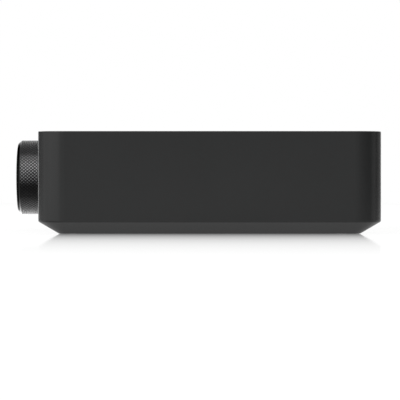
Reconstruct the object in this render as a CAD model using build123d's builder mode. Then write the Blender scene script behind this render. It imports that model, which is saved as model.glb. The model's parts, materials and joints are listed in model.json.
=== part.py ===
from build123d import *
import os

# A compact streaming amplifier: a low square box with a large volume knob on its front.
# Sizes are in millimetres. The front faces -Y, +X is on the right seen from the front, +Z is up.
# The origin is the centre of the rubber mat's underside, where the amplifier stands.

# Housing
body_width = 200.0
body_depth = 200.0
body_height = 59.5
corner_radius = 16.0
wall = 2.5
top_thickness = 2.5
top_edge_radius = 0.5
bevel_height = 7.0
bevel_inset = 12.0
bevel_edge_radius = 1.2
base_corner_radius = 4.0
lip_width = 2.0
lip_height = 1.7
opening_corner_radius = 2.5
post_radius = 3.5
post_inset = 6.0
post_ledge_gap = 1.5

# Base plate, its screws and the rubber mat that the amplifier stands on
floor_gap = 0.5
base_plate_thickness = 2.0
base_clearance = 0.3
mat_margin = 23.0
mat_corner_radius = 8.0
mat_pocket_depth = 0.7
mat_clearance = 0.2
base_screw_radius = 1.4
base_screw_head_radius = 2.8
base_screw_length = 9.5
screw_hole_clearance = 0.2
pilot_clearance = 0.05
pilot_spare_depth = 0.5
drive_width = 0.6
drive_length = 2.6
drive_depth = 0.8

# Rear window, and the panel set back inside it
recess_depth = 12.0
window_side = 16.0
window_floor = 11.5
window_head = 6.0
window_corner_radius = 3.0
tunnel_wall = 2.0
ledge_thickness = 3.0
ledge_side = 6.0
ledge_edge = 2.5
panel_thickness = 2.5
panel_clearance = 0.3
panel_screw_spacing = 30.0
panel_screw_radius = 1.2
panel_screw_head_radius = 2.3
panel_screw_head_height = 1.3
socket_clearance = 0.2
socket_proud = 0.5
row_margin = 1.5

# Volume knob
knob_drop = 0.65
knob_diameter = 45.5
knob_reach = 17.5
knob_gap = 1.0
knob_chamfer_depth = 1.7
knob_chamfer_width = 2.3
knob_ring_wall = 2.8
knob_face_thickness = 1.8
knob_web_thickness = 3.2
knob_boss_radius = 6.0
knob_boss_length = 8.5
glue_gap = 0.05

# Rotary encoder behind the front wall, with its push switch
shaft_radius = 3.0
shaft_clearance = 0.05
shaft_flat_depth = 1.0
shaft_seat_depth = 9.0
bush_radius = 4.5
bush_clearance = 0.2
bush_beyond_nut = 0.6
encoder_width = 15.0
encoder_length = 8.0
encoder_wall = 1.5
nut_across_flats = 12.0
nut_thickness = 2.0
thread_clearance = 0.05
shaft_collar_radius = 4.2
shaft_collar_thickness = 1.2
shaft_collar_gap = 0.3
plunger_radius = 4.0
plunger_thickness = 1.6
plunger_stem_radius = 1.2
press_travel = 0.5
contact_gap = 0.1

# Front circuit board, infrared window and status light
board_thickness = 1.6
front_board_side = 24.0
front_board_right = 30.0
front_board_floor = 13.5
front_board_head = 8.0
front_boss_left_gap = 10.0
front_boss_right = 18.0
front_boss_radius = 2.5
window_lens_side = 30.0
window_lens_radius = 2.5
status_light_side = 40.0
status_light_radius = 1.2
light_guide_length = 5.0
lamp_size = (2.0, 0.8, 1.6)
lens_proud = 0.2
lens_flange = 1.0
receiver_size = (6.0, 5.0, 7.0)

# Circuit boards on the base plate
board_gap = 3.0
board_post_gap = 1.5
board_front_gap = 35.5
board_ledge_gap = 0.5
standoff_radius = 2.5
board_hole_radius = 1.6
board_screw_radius = 1.4
board_screw_length = 6.0
board_screw_head_radius = 2.4
board_screw_head_height = 1.8
board_screw_side = 5.0
board_screw_front = 5.0
board_screw_rear = 21.5

# Amplifier stage and the heat sink that stands on it
chip_size = (20.0, 14.0, 1.7)
heat_sink_width = 60.0
heat_sink_depth = 38.0
heat_sink_height = 28.0
heat_sink_floor = 4.0
heat_sink_front = 11.0
fin_count = 9
fin_thickness = 1.6
foot_radius = 2.0
foot_inset = 4.0
inductor_radius = 5.5
inductor_height = 13.0
inductor_count = 4
inductor_pitch = 16.0
inductor_gap = 5.5

# Processor, streaming module and antennas
processor_size = (14.0, 14.0, 1.2)
processor_side = 10.0
processor_row = 48.0
module_size = (38.0, 36.0, 1.2)
module_side = 12.0
module_row = 40.0
module_foot_height = 4.0
module_foot_width = 3.0
shield_size = (30.0, 26.0, 3.0)
shield_wall = 0.4
antenna_size = (20.0, 7.0)
antenna_thickness = 0.6
antenna_gap = 0.2
antenna_drop = 4.0

# Power supply
inlet_size = (20.4, 20.0, 13.0)
inlet_lobe_radius = 4.2
inlet_lobe_spacing = 8.6
inlet_waist = 6.6
inlet_cavity_depth = 13.0
inlet_pin_radius = 1.2
inlet_pin_root_radius = 1.7
inlet_pin_setback = 2.5
fuse_row = 38.0
fuse_radius = 2.6
fuse_length = 20.0
fuse_cap_length = 5.0
fuse_cap_thickness = 0.4
fuse_lift = 3.5
fuse_side = 14.0
choke_row = 55.0
choke_side = 13.5
choke_radius = 8.0
choke_tube_radius = 4.0
transformer_row = 82.0
transformer_core_size = (34.0, 12.0, 26.0)
transformer_bobbin_size = (22.0, 26.0, 20.0)
bulk_capacitor_row = 22.0
bulk_capacitor_pitch = 24.0
bulk_capacitor_radius = 9.0
bulk_capacitor_height = 34.0
capacitor_edge_radius = 1.0

# Ribbon cable between the front board and the main board
ribbon_place = 10.0
ribbon_width = 15.0
ribbon_thickness = 0.8
ribbon_bend_radius = 4.0
ribbon_front_rise = 8.0
ribbon_crown_rise = 20.0
plug_width = 19.0
plug_height = 6.0
plug_depth = 5.0
plug_inset = 1.5

# Network socket
ethernet_size = (15.8, 19.0, 13.4)
ethernet_cavity = (11.8, 14.0, 8.2)
ethernet_cavity_lift = 3.6
ethernet_latch_width = 6.4
ethernet_latch_depth = 2.4

# USB socket
usb_size = (13.2, 14.0, 6.6)
usb_wall = 0.4
usb_tongue_size = (11.0, 9.0, 1.9)
usb_tongue_drop = 1.1
insulator_depth = 3.0

# HDMI socket
hdmi_size = (15.0, 11.5, 6.2)
hdmi_wall = 0.45
hdmi_corner_cut = 1.9
hdmi_tongue_size = (11.4, 8.0, 1.9)

# Optical socket with its spring shutter
optical_size = (13.4, 14.0, 11.6)
optical_cavity = (9.6, 12.0, 9.2)
shutter_setback = 1.0
shutter_thickness = 0.8
shutter_side_gap = 0.3
shutter_low_gap = 0.4
shutter_pin_radius = 0.6
shutter_pin_reach = 1.0
shutter_pin_clearance = 0.06
shutter_pin_drop = 1.1
shutter_top = 0.5

# Phono jacks: a stacked pair for line input, and one for a subwoofer
jack_drop = 10.0
jack_pitch = 15.0
jack_block_width = 11.0
jack_block_depth = 9.0
jack_block_margin = 6.0
jack_block_gap = 0.3
jack_barrel_radius = 4.15
jack_barrel_bore = 3.45
jack_barrel_reach = 9.5
jack_insert_setback = 0.8
jack_pin_bore = 1.65
jack_pin_depth = 7.5
jack_collar_radius = 5.0
jack_collar_thickness = 0.8

# Loudspeaker binding posts
post_pair_pitch = 19.0
stud_radius = 3.2
stud_tail_radius = 1.6
stud_tail_length = 5.5
stud_shoulder = 1.5
banana_bore_radius = 2.05
banana_bore_depth = 12.7
wire_hole_radius = 1.4
wire_hole_gap = 0.2
collar_radius = 7.2
collar_thickness = 2.5
collar_neck_radius = 4.2
washer_radius = 5.6
washer_thickness = 1.0
washer_clearance = 0.1
cap_radius = 6.5
cap_length = 11.2
cap_end_thickness = 1.6
cap_end_hole_radius = 2.6
cap_thread_clearance = 0.06
cap_groove_radius = 0.8
cap_groove_count = 12
cap_groove_length = 8.0
cap_edge_radius = 0.4
stud_end_gap = 0.4
terminal_board_gap = 2.0
terminal_board_overlap = 1.0

# Setup button, its switch and their board
button_rise = 8.0
button_radius = 1.75
button_clearance = 0.15
button_proud = 1.3
button_flange_radius = 2.6
button_flange_thickness = 0.8
button_travel = 0.3
control_board_width = 22.0
control_board_gap = 2.0
control_board_rise = 16.0
switch_width = 6.0
switch_depth = 3.6
switch_well_radius = 2.1
button_entry = 0.6

# Planes and heights worked out from the driving sizes
front_y = -body_depth / 2
rear_y = body_depth / 2
base_z = floor_gap
bevel_top_z = base_z + bevel_height
top_z = base_z + body_height
ceiling_z = top_z - top_thickness
front_inside_y = front_y + wall
rear_inside_y = rear_y - wall
opening_width = body_width - 2 * (bevel_inset + lip_width)
opening_depth = body_depth - 2 * (bevel_inset + lip_width)
inner_rise = (bevel_inset + lip_width - wall) * bevel_height / bevel_inset
inner_bevel_top_z = base_z + lip_height + inner_rise
plate_top_z = base_z + base_plate_thickness

window_width = body_width - 2 * window_side
window_low_z = base_z + window_floor
window_high_z = top_z - window_head
window_height = window_high_z - window_low_z
window_z = (window_low_z + window_high_z) / 2
panel_outer_y = rear_y - recess_depth
panel_inner_y = panel_outer_y - panel_thickness
ledge_y = panel_inner_y - ledge_thickness
ledge_half_width = window_width / 2 - ledge_side
socket_face_y = panel_outer_y + socket_proud

post_x = opening_width / 2 - post_inset
post_front_y = -(opening_depth / 2 - post_inset)
post_rear_y = ledge_y - post_ledge_gap - post_radius
post_places = [(x, y) for x in (-post_x, post_x) for y in (post_front_y, post_rear_y)]
panel_screw_x = window_width / 2 - ledge_side / 2
panel_screw_places = [
    (side * panel_screw_x, window_z + level * panel_screw_spacing / 2)
    for side in (-1, 1)
    for level in (-1, 1)
]

# Rear connectors, from -X to +X, evenly spaced across the opening in the ledge
row_widths = {
    "inlet": inlet_size[0],
    "left_posts": 2 * collar_radius,
    "right_posts": 2 * collar_radius,
    "sub_jack": jack_block_width,
    "line_jacks": jack_block_width,
    "optical": optical_size[0],
    "hdmi": hdmi_size[0],
    "usb": usb_size[0],
    "ethernet": ethernet_size[0],
}
row_room = 2 * (ledge_half_width - row_margin) - sum(row_widths.values())
row_gap = row_room / (len(row_widths) - 1)
row_x = {}
row_edge = row_margin - ledge_half_width
for item, width in row_widths.items():
    row_x[item] = row_edge + width / 2
    row_edge += width + row_gap

# Circuit boards: power supply at -X, amplifier and streaming at +X
board_low_z = window_low_z + ledge_edge + socket_clearance - board_thickness
board_top_z = board_low_z + board_thickness
board_front_y = front_inside_y + board_front_gap
board_rear_y = ledge_y - board_ledge_gap
board_side_x = post_x - post_radius - board_post_gap
board_split_x = (row_x["right_posts"] + collar_radius + row_x["sub_jack"] - jack_block_width / 2) / 2
main_left_x = board_split_x + board_gap / 2
main_x = (main_left_x + board_side_x) / 2
power_right_x = board_split_x - board_gap / 2
power_x = (power_right_x - board_side_x) / 2


def corner_places(left, right):
    """Screw places near the corners of a circuit board"""
    rows = (board_front_y + board_screw_front, board_rear_y - board_screw_rear)
    return [(x, y) for x in (left + board_screw_side, right - board_screw_side) for y in rows]


main_screw_places = corner_places(main_left_x, board_side_x)
power_screw_places = corner_places(-board_side_x, power_right_x)

# Knob, encoder and front board
knob_z = (bevel_top_z + top_z) / 2 - knob_drop
knob_radius = knob_diameter / 2
knob_front_y = front_y - knob_reach
knob_back_y = front_y - knob_gap
knob_bore_radius = knob_radius - knob_ring_wall
knob_web_y = knob_front_y + knob_face_thickness
knob_boss_y = knob_web_y + knob_web_thickness
knob_boss_end_y = knob_boss_y + knob_boss_length
shaft_front_y = knob_boss_end_y - shaft_seat_depth
knob_axis = Axis((0, 0, knob_z), (0, 1, 0))
front_board_y = front_inside_y + encoder_length
window_lens_x = window_lens_side - body_width / 2
status_light_x = status_light_side - body_width / 2
front_boss_places = (status_light_x + front_boss_left_gap, front_boss_right)

os.makedirs("parts", exist_ok=True)


def upright(y):
    """Plane facing the front, so that a positive extrusion goes towards the front"""
    return Plane.XZ.offset(-y)


def span(middle, length):
    """Low and high end of a length about its middle"""
    return (middle - length / 2, middle + length / 2)


def block(x, y, z, mode=Mode.ADD):
    """Box between the low and high ends in X, Y and Z"""
    with Locations(((x[0] + x[1]) / 2, (y[0] + y[1]) / 2, (z[0] + z[1]) / 2)):
        Box(x[1] - x[0], y[1] - y[0], z[1] - z[0], mode=mode)


def bar_y(x, z, y, radius, mode=Mode.ADD):
    """Round bar along Y"""
    with Locations(Location((x, (y[0] + y[1]) / 2, z), (90, 0, 0))):
        Cylinder(radius, y[1] - y[0], mode=mode)


def bar_z(x, y, z, radius, mode=Mode.ADD):
    """Round bar along Z"""
    with Locations((x, y, (z[0] + z[1]) / 2)):
        Cylinder(radius, z[1] - z[0], mode=mode)


def bar_x(y, z, x, radius, mode=Mode.ADD):
    """Round bar along X"""
    with Locations(Location(((x[0] + x[1]) / 2, y, z), (0, 90, 0))):
        Cylinder(radius, x[1] - x[0], mode=mode)


# Housing: one casting with the top, the walls, the bevel below them and the rear window's tunnel
with BuildPart() as housing:
    with BuildSketch(Plane.XY.offset(bevel_top_z)):
        RectangleRounded(body_width, body_depth, corner_radius)
    extrude(amount=top_z - bevel_top_z)
    with BuildSketch(Plane.XY.offset(base_z)):
        RectangleRounded(body_width - 2 * bevel_inset, body_depth - 2 * bevel_inset, base_corner_radius)
    with BuildSketch(Plane.XY.offset(bevel_top_z)):
        RectangleRounded(body_width, body_depth, corner_radius)
    loft(ruled=True)
    bevel_edges = housing.edges().group_by(lambda edge: round(edge.center().Z - bevel_top_z, 3) == 0)[-1]
    fillet(bevel_edges, bevel_edge_radius)
    fillet(housing.faces().sort_by(Axis.Z)[-1].edges(), top_edge_radius)

    with BuildSketch(Plane.XY.offset(inner_bevel_top_z)):
        RectangleRounded(body_width - 2 * wall, body_depth - 2 * wall, corner_radius - wall)
    extrude(amount=ceiling_z - inner_bevel_top_z, mode=Mode.SUBTRACT)
    with BuildSketch(Plane.XY.offset(base_z + lip_height)):
        RectangleRounded(opening_width, opening_depth, opening_corner_radius)
    with BuildSketch(Plane.XY.offset(inner_bevel_top_z)):
        RectangleRounded(body_width - 2 * wall, body_depth - 2 * wall, corner_radius - wall)
    loft(ruled=True, mode=Mode.SUBTRACT)
    with BuildSketch(Plane.XY.offset(base_z)):
        RectangleRounded(opening_width, opening_depth, opening_corner_radius)
    extrude(amount=lip_height, mode=Mode.SUBTRACT)

    with BuildSketch(upright(rear_inside_y)):
        with Locations((0, window_z)):
            RectangleRounded(
                window_width + 2 * tunnel_wall,
                window_height + 2 * tunnel_wall,
                window_corner_radius + tunnel_wall,
            )
    extrude(amount=rear_inside_y - ledge_y)
    with BuildSketch(upright(rear_y)):
        with Locations((0, window_z)):
            RectangleRounded(window_width, window_height, window_corner_radius)
    extrude(amount=rear_y - panel_inner_y, mode=Mode.SUBTRACT)
    with BuildSketch(upright(panel_inner_y)):
        with Locations((0, window_z)):
            Rectangle(2 * ledge_half_width, window_height - 2 * ledge_edge)
    extrude(amount=ledge_thickness, mode=Mode.SUBTRACT)
    for x, z in panel_screw_places:
        bar_y(x, z, (ledge_y, panel_inner_y), panel_screw_radius + pilot_clearance, Mode.SUBTRACT)

    base_pilot_z = (plate_top_z, base_z + base_screw_length + pilot_spare_depth)
    for x, y in post_places:
        bar_z(x, y, (plate_top_z, ceiling_z), post_radius)
        bar_z(x, y, base_pilot_z, base_screw_radius + pilot_clearance, Mode.SUBTRACT)
    front_pilot_y = (front_board_y + board_thickness - board_screw_length - pilot_spare_depth, front_board_y)
    for x in front_boss_places:
        bar_y(x, knob_z, (front_inside_y, front_board_y), front_boss_radius)
        bar_y(x, knob_z, front_pilot_y, board_screw_radius + pilot_clearance, Mode.SUBTRACT)
    front_wall_y = (front_y, front_inside_y)
    bar_y(0, knob_z, front_wall_y, bush_radius + bush_clearance, Mode.SUBTRACT)
    bar_y(window_lens_x, knob_z, front_wall_y, window_lens_radius + glue_gap, Mode.SUBTRACT)
    bar_y(status_light_x, knob_z, front_wall_y, status_light_radius + glue_gap, Mode.SUBTRACT)
housing.part.label = "housing"
export_step(housing.part, "parts/housing.step")


# Base plate, with a shallow pocket for the mat and a countersunk hole under each post
mat_width = opening_width - mat_margin
mat_depth = opening_depth - mat_margin
with BuildPart() as base_plate:
    with BuildSketch(Plane.XY.offset(base_z)):
        RectangleRounded(
            opening_width - 2 * base_clearance,
            opening_depth - 2 * base_clearance,
            opening_corner_radius - base_clearance,
        )
    extrude(amount=base_plate_thickness)
    with BuildSketch(Plane.XY.offset(base_z)):
        RectangleRounded(mat_width + 2 * mat_clearance, mat_depth + 2 * mat_clearance, mat_corner_radius)
    extrude(amount=mat_pocket_depth, mode=Mode.SUBTRACT)
    for x, y in post_places:
        with Locations(Plane((x, y, base_z), z_dir=(0, 0, -1))):
            CounterSinkHole(
                base_screw_radius + screw_hole_clearance,
                base_screw_head_radius + screw_hole_clearance,
                base_plate_thickness,
            )
base_plate.part.label = "base_plate"
export_step(base_plate.part, "parts/base_plate.step")


# Rubber mat, proud of the base
with BuildPart() as rubber_mat:
    with BuildSketch():
        RectangleRounded(mat_width, mat_depth, mat_corner_radius)
    extrude(amount=floor_gap + mat_pocket_depth)
rubber_mat.part.label = "rubber_mat"
export_step(rubber_mat.part, "parts/rubber_mat.step")


# Countersunk screws that hold the base plate to the posts
with BuildPart() as base_screws:
    base_head_height = base_screw_head_radius - base_screw_radius
    for x, y in post_places:
        with Locations((x, y, base_z + base_head_height / 2)):
            Cone(base_screw_head_radius, base_screw_radius, base_head_height)
        bar_z(x, y, (base_z + base_head_height, base_z + base_screw_length), base_screw_radius)
        block(span(x, drive_length), span(y, drive_width), (base_z, base_z + drive_depth), Mode.SUBTRACT)
        block(span(x, drive_width), span(y, drive_length), (base_z, base_z + drive_depth), Mode.SUBTRACT)
base_screws.part.label = "base_screws"
export_step(base_screws.part, "parts/base_screws.step")


# Places of the connectors that the rear panel is cut for
inlet_z = board_top_z + inlet_size[2] / 2
ethernet_z = board_top_z + ethernet_size[2] / 2
usb_z = board_top_z + usb_size[2] / 2
hdmi_z = board_top_z + hdmi_size[2] / 2
optical_z = board_top_z + optical_size[2] / 2
jack_low_z = window_z - jack_drop
jack_places = [
    (row_x["sub_jack"], jack_low_z),
    (row_x["line_jacks"], jack_low_z),
    (row_x["line_jacks"], jack_low_z + jack_pitch),
]
terminal_places = {
    f"{side}_{sign}": (row_x[side + "_posts"], window_z + level * post_pair_pitch / 2)
    for side in ("left", "right")
    for sign, level in (("minus", -1), ("plus", 1))
}
button_x = (row_x["usb"] + row_x["ethernet"]) / 2
button_z = window_z + button_rise

# Rear panel, set on the ledge inside the window
with BuildPart() as rear_panel:
    with BuildSketch(upright(panel_outer_y)):
        with Locations((0, window_z)):
            RectangleRounded(
                window_width - 2 * panel_clearance,
                window_height - 2 * panel_clearance,
                window_corner_radius - panel_clearance,
            )
        for item, size, z in (
            ("inlet", inlet_size, inlet_z),
            ("ethernet", ethernet_size, ethernet_z),
            ("usb", usb_size, usb_z),
            ("hdmi", hdmi_size, hdmi_z),
            ("optical", optical_size, optical_z),
        ):
            with Locations((row_x[item], z)):
                Rectangle(size[0] + 2 * socket_clearance, size[2] + 2 * socket_clearance, mode=Mode.SUBTRACT)
        with Locations(*jack_places):
            Circle(jack_barrel_radius + socket_clearance, mode=Mode.SUBTRACT)
        with Locations(*terminal_places.values()):
            Circle(collar_neck_radius + socket_clearance, mode=Mode.SUBTRACT)
        with Locations((button_x, button_z)):
            Circle(button_radius + button_clearance, mode=Mode.SUBTRACT)
        with Locations(*panel_screw_places):
            Circle(panel_screw_radius + screw_hole_clearance, mode=Mode.SUBTRACT)
    extrude(amount=panel_thickness)
rear_panel.part.label = "rear_panel"
export_step(rear_panel.part, "parts/rear_panel.step")


# Screws that hold the rear panel to the ledge
with BuildPart() as panel_screws:
    head_y = (panel_outer_y, panel_outer_y + panel_screw_head_height)
    drive_y = (head_y[1] - drive_depth, head_y[1])
    for x, z in panel_screw_places:
        bar_y(x, z, head_y, panel_screw_head_radius)
        bar_y(x, z, (ledge_y, panel_outer_y), panel_screw_radius)
        block(span(x, drive_length), drive_y, span(z, drive_width), Mode.SUBTRACT)
        block(span(x, drive_width), drive_y, span(z, drive_length), Mode.SUBTRACT)
panel_screws.part.label = "panel_screws"
export_step(panel_screws.part, "parts/panel_screws.step")


# Knob ring: the outer tube with its chamfered front edge
with BuildPart() as knob_ring:
    with BuildSketch(Plane.YZ):
        with BuildLine():
            Polyline(
                (knob_front_y, knob_z + knob_bore_radius),
                (knob_front_y, knob_z + knob_radius - knob_chamfer_width),
                (knob_front_y + knob_chamfer_depth, knob_z + knob_radius),
                (knob_back_y, knob_z + knob_radius),
                (knob_back_y, knob_z + knob_bore_radius),
                close=True,
            )
        make_face()
    revolve(axis=knob_axis)
knob_ring.part.label = "knob_ring"
export_step(knob_ring.part, "parts/knob_ring.step")


# Knob face: the disc that closes the ring's front
with BuildPart() as knob_face:
    bar_y(0, knob_z, (knob_front_y, knob_web_y), knob_bore_radius - glue_gap)
knob_face.part.label = "knob_face"
export_step(knob_face.part, "parts/knob_face.step")


# Knob hub: a web behind the face and a boss that seats on the flatted shaft
with BuildPart() as knob_hub:
    bar_y(0, knob_z, (knob_web_y, knob_boss_y), knob_bore_radius - glue_gap)
    bar_y(0, knob_z, (knob_boss_y, knob_boss_end_y), knob_boss_radius)
    with BuildSketch(upright(knob_boss_end_y)):
        with Locations((0, knob_z)):
            Circle(shaft_radius + shaft_clearance)
        with Locations((0, knob_z + 2 * shaft_radius - shaft_flat_depth + shaft_clearance)):
            Rectangle(3 * shaft_radius, 2 * shaft_radius, mode=Mode.SUBTRACT)
    extrude(amount=shaft_seat_depth, mode=Mode.SUBTRACT)
knob_hub.part.label = "knob_hub"
export_step(knob_hub.part, "parts/knob_hub.step")


# Encoder body with its threaded bush, hollow for the shaft's collar and the push plunger
bush_front_y = front_y - nut_thickness - bush_beyond_nut
encoder_cavity_y = (front_inside_y + encoder_wall, front_board_y - encoder_wall / 2)
shaft_collar_y = encoder_cavity_y[0] + shaft_collar_gap
shaft_end_y = shaft_collar_y + shaft_collar_thickness
with BuildPart() as encoder_body:
    block(span(0, encoder_width), (front_inside_y, front_board_y), span(knob_z, encoder_width))
    bar_y(0, knob_z, (bush_front_y, front_inside_y), bush_radius)
    bar_y(0, knob_z, (bush_front_y, encoder_cavity_y[0]), shaft_radius + shaft_clearance, Mode.SUBTRACT)
    bar_y(0, knob_z, encoder_cavity_y, encoder_width / 2 - encoder_wall, Mode.SUBTRACT)
encoder_body.part.label = "encoder_body"
export_step(encoder_body.part, "parts/encoder_body.step")


# Nut that clamps the encoder's bush to the front wall
with BuildPart() as encoder_nut:
    with BuildSketch(upright(front_y)):
        with Locations((0, knob_z)):
            RegularPolygon(nut_across_flats / 2, 6, major_radius=False)
            Circle(bush_radius + thread_clearance, mode=Mode.SUBTRACT)
    extrude(amount=nut_thickness)
encoder_nut.part.label = "encoder_nut"
export_step(encoder_nut.part, "parts/encoder_nut.step")


# Encoder shaft, flatted where it seats in the hub and collared inside the encoder
with BuildPart() as encoder_shaft:
    bar_y(0, knob_z, (shaft_front_y, shaft_end_y), shaft_radius)
    bar_y(0, knob_z, (shaft_collar_y, shaft_end_y), shaft_collar_radius)
    flat_z = (knob_z + shaft_radius - shaft_flat_depth, knob_z + shaft_radius)
    block(span(0, 2 * shaft_radius), (shaft_front_y, knob_boss_end_y), flat_z, Mode.SUBTRACT)
encoder_shaft.part.label = "encoder_shaft"
export_step(encoder_shaft.part, "parts/encoder_shaft.step")


# Push plunger: it doesn't turn, and closes the switch when the knob is pressed
plunger_y = shaft_end_y + contact_gap
with BuildPart() as push_plunger:
    bar_y(0, knob_z, (plunger_y, plunger_y + plunger_thickness), plunger_radius)
    bar_y(0, knob_z, (plunger_y, encoder_cavity_y[1] - 2 * press_travel), plunger_stem_radius)
push_plunger.part.label = "push_plunger"
export_step(push_plunger.part, "parts/push_plunger.step")


# Front board, with the status light's lamp on it
with BuildPart() as front_board:
    board_z = (base_z + front_board_floor, top_z - front_board_head)
    board_y = (front_board_y, front_board_y + board_thickness)
    block((front_board_side - body_width / 2, front_board_right), board_y, board_z)
    for x in front_boss_places:
        bar_y(x, knob_z, board_y, board_hole_radius, Mode.SUBTRACT)
    lamp_y = (front_board_y - lamp_size[1], front_board_y)
    block(span(status_light_x, lamp_size[0]), lamp_y, span(knob_z, lamp_size[2]))
front_board.part.label = "front_board"
export_step(front_board.part, "parts/front_board.step")


# Infrared receiver on the front board
with BuildPart() as infrared_receiver:
    receiver_y = (front_board_y - receiver_size[1], front_board_y)
    block(span(window_lens_x, receiver_size[0]), receiver_y, span(knob_z, receiver_size[2]))
infrared_receiver.part.label = "infrared_receiver"
export_step(infrared_receiver.part, "parts/infrared_receiver.step")


# Infrared window and status light, each with a flange behind the front wall
with BuildPart() as infrared_window:
    flange_y = (front_inside_y, front_inside_y + lens_flange)
    bar_y(window_lens_x, knob_z, (front_y - lens_proud, front_inside_y), window_lens_radius)
    bar_y(window_lens_x, knob_z, flange_y, window_lens_radius + lens_flange)
infrared_window.part.label = "infrared_window"
export_step(infrared_window.part, "parts/infrared_window.step")

with BuildPart() as status_light:
    guide_y = (front_y - lens_proud, front_inside_y + light_guide_length)
    bar_y(status_light_x, knob_z, guide_y, status_light_radius)
    bar_y(status_light_x, knob_z, flange_y, status_light_radius + lens_flange)
status_light.part.label = "status_light"
export_step(status_light.part, "parts/status_light.step")


# Main board and power board
with BuildPart() as main_board:
    block((main_left_x, board_side_x), (board_front_y, board_rear_y), (board_low_z, board_top_z))
    for x, y in main_screw_places:
        bar_z(x, y, (board_low_z, board_top_z), board_hole_radius, Mode.SUBTRACT)
main_board.part.label = "main_board"
export_step(main_board.part, "parts/main_board.step")

with BuildPart() as power_board:
    block((-board_side_x, power_right_x), (board_front_y, board_rear_y), (board_low_z, board_top_z))
    for x, y in power_screw_places:
        bar_z(x, y, (board_low_z, board_top_z), board_hole_radius, Mode.SUBTRACT)
power_board.part.label = "power_board"
export_step(power_board.part, "parts/power_board.step")


# Standoffs pressed into the base plate, and the screws that hold the boards to them
with BuildPart() as board_standoffs:
    pilot_z = (board_top_z - board_screw_length - pilot_spare_depth, board_low_z)
    for x, y in main_screw_places + power_screw_places:
        bar_z(x, y, (plate_top_z, board_low_z), standoff_radius)
        bar_z(x, y, pilot_z, board_screw_radius + pilot_clearance, Mode.SUBTRACT)
board_standoffs.part.label = "board_standoffs"
export_step(board_standoffs.part, "parts/board_standoffs.step")

with BuildPart() as board_screws:
    for x, y in main_screw_places + power_screw_places:
        bar_z(x, y, (board_top_z - board_screw_length, board_top_z), board_screw_radius)
        bar_z(x, y, (board_top_z, board_top_z + board_screw_head_height), board_screw_head_radius)
    screw_y = front_board_y + board_thickness
    for x in front_boss_places:
        bar_y(x, knob_z, (screw_y - board_screw_length, screw_y), board_screw_radius)
        bar_y(x, knob_z, (screw_y, screw_y + board_screw_head_height), board_screw_head_radius)
board_screws.part.label = "board_screws"
export_step(board_screws.part, "parts/board_screws.step")


# Amplifier chip and the finned heat sink on it
heat_sink_y = board_front_y + heat_sink_front + heat_sink_depth / 2
heat_sink_low_z = board_top_z + chip_size[2]
with BuildPart() as amplifier_chip:
    block(span(main_x, chip_size[0]), span(heat_sink_y, chip_size[1]), (board_top_z, heat_sink_low_z))
amplifier_chip.part.label = "amplifier_chip"
export_step(amplifier_chip.part, "parts/amplifier_chip.step")

with BuildPart() as heat_sink:
    with BuildSketch(upright(heat_sink_y + heat_sink_depth / 2)):
        with Locations((main_x, heat_sink_low_z + heat_sink_floor / 2)):
            Rectangle(heat_sink_width, heat_sink_floor)
        with Locations((main_x, heat_sink_low_z + heat_sink_height / 2)):
            with GridLocations((heat_sink_width - fin_thickness) / (fin_count - 1), 1, fin_count, 1):
                Rectangle(fin_thickness, heat_sink_height)
    extrude(amount=heat_sink_depth)
    for x in span(main_x, heat_sink_width - 2 * foot_inset):
        for y in span(heat_sink_y, heat_sink_depth - 2 * foot_inset):
            bar_z(x, y, (board_top_z, heat_sink_low_z), foot_radius)
heat_sink.part.label = "heat_sink"
export_step(heat_sink.part, "parts/heat_sink.step")


# Output inductors behind the heat sink
with BuildPart() as output_inductors:
    inductor_y = heat_sink_y + heat_sink_depth / 2 + inductor_gap + inductor_radius
    for index in range(inductor_count):
        x = main_x + (index - (inductor_count - 1) / 2) * inductor_pitch
        bar_z(x, inductor_y, (board_top_z, board_top_z + inductor_height), inductor_radius)
output_inductors.part.label = "output_inductors"
export_step(output_inductors.part, "parts/output_inductors.step")


# Audio processor
with BuildPart() as audio_processor:
    block(
        span(main_left_x + processor_side, processor_size[0]),
        span(panel_outer_y - processor_row, processor_size[1]),
        (board_top_z, board_top_z + processor_size[2]),
    )
audio_processor.part.label = "audio_processor"
export_step(audio_processor.part, "parts/audio_processor.step")


# Streaming module on two pin headers, with a shield can over it
module_x = board_side_x - module_side - module_size[0] / 2
module_y = panel_outer_y - module_row - module_foot_width
module_low_z = board_top_z + module_foot_height
module_top_z = module_low_z + module_size[2]
with BuildPart() as streaming_module:
    block(span(module_x, module_size[0]), span(module_y, module_size[1]), (module_low_z, module_top_z))
    for y in span(module_y, module_size[1] - module_foot_width):
        block(span(module_x, module_size[0]), span(y, module_foot_width), (board_top_z, module_low_z))
streaming_module.part.label = "streaming_module"
export_step(streaming_module.part, "parts/streaming_module.step")

with BuildPart() as module_shield:
    block(
        span(module_x, shield_size[0]),
        span(module_y, shield_size[1]),
        (module_top_z, module_top_z + shield_size[2]),
    )
    offset(amount=-shield_wall, openings=module_shield.faces().sort_by(Axis.Z)[0])
module_shield.part.label = "module_shield"
export_step(module_shield.part, "parts/module_shield.step")


# Antennas behind the plastic rear panel
with BuildPart() as antennas:
    antenna_y = (panel_inner_y - antenna_gap - antenna_thickness, panel_inner_y - antenna_gap)
    antenna_z = window_high_z - ledge_edge - antenna_drop - antenna_size[1] / 2
    for item in ("inlet", "hdmi"):
        block(span(row_x[item], antenna_size[0]), antenna_y, span(antenna_z, antenna_size[1]))
antennas.part.label = "antennas"
export_step(antennas.part, "parts/antennas.step")


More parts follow.
